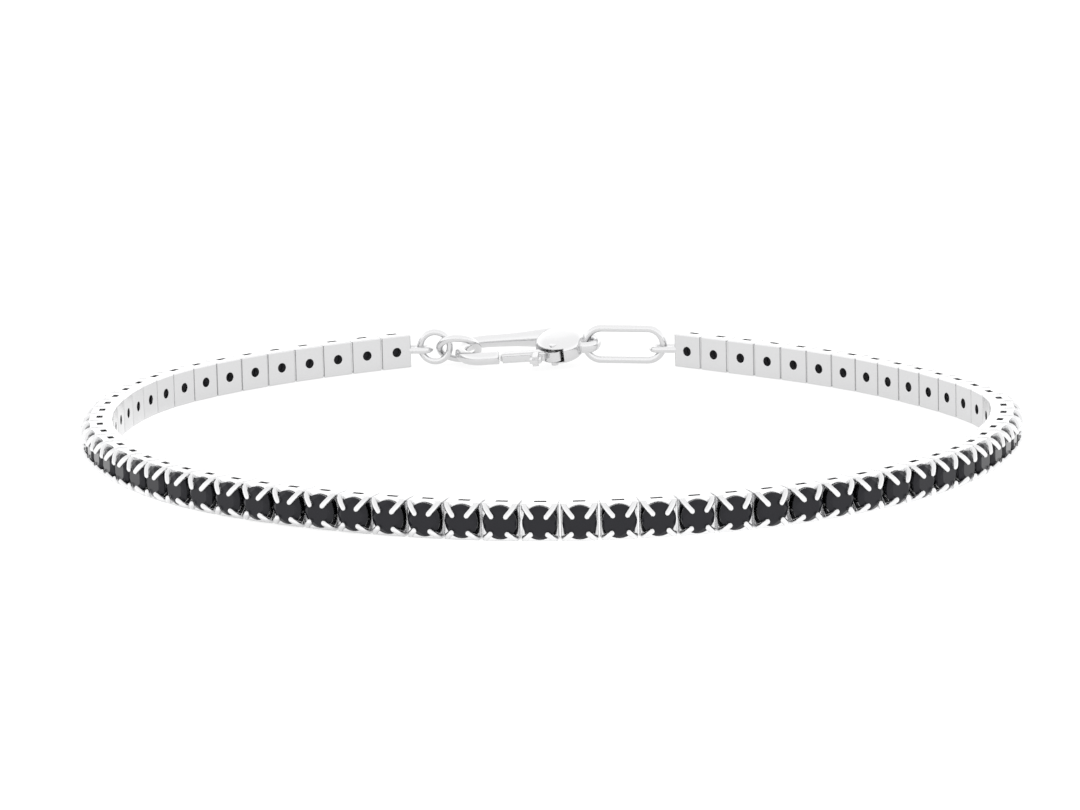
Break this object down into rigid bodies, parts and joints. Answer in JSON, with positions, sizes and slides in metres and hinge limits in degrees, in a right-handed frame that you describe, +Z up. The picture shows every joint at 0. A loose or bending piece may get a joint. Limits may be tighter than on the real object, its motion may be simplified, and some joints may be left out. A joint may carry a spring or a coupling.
{
  "type": "tennis bracelet",
  "caption": "Silver tennis bracelet of round black stones in four-prong cups, closed by a lobster clasp on small rings, lying on its edge.",
  "frame": {"origin": "on the surface below the middle of the closed loop", "axes": "+Z up, away from the surface; -Y towards the middle stone; +Y towards the clasp; +X to the right seen from the middle stone"},
  "size_m": [0.0606, 0.0586, 0.0028],
  "materials": {
    "silver": "bright polished silver",
    "black_stone": "polished opaque black cut stone"
  },
  "bodies": {
    "bracelet": {"string_left": "silver", "string_right": "silver", "jump_ring": "silver", "catch_ring": "silver", "tail_ring": "silver", "clasp_body": "silver"},
    "lever": {"clasp_lever": "silver"}
  },
  "joints": [
    {"name": "clasp_lever", "type": "hinge", "parent": "bracelet", "child": "lever", "pos_m": [0.00037, 0.02533, 0.00104], "axis": [0.0839, 0.217, -0.9726], "range_deg": [0, 20], "stiffness_Nm_per_rad": 0.005}
  ]
}
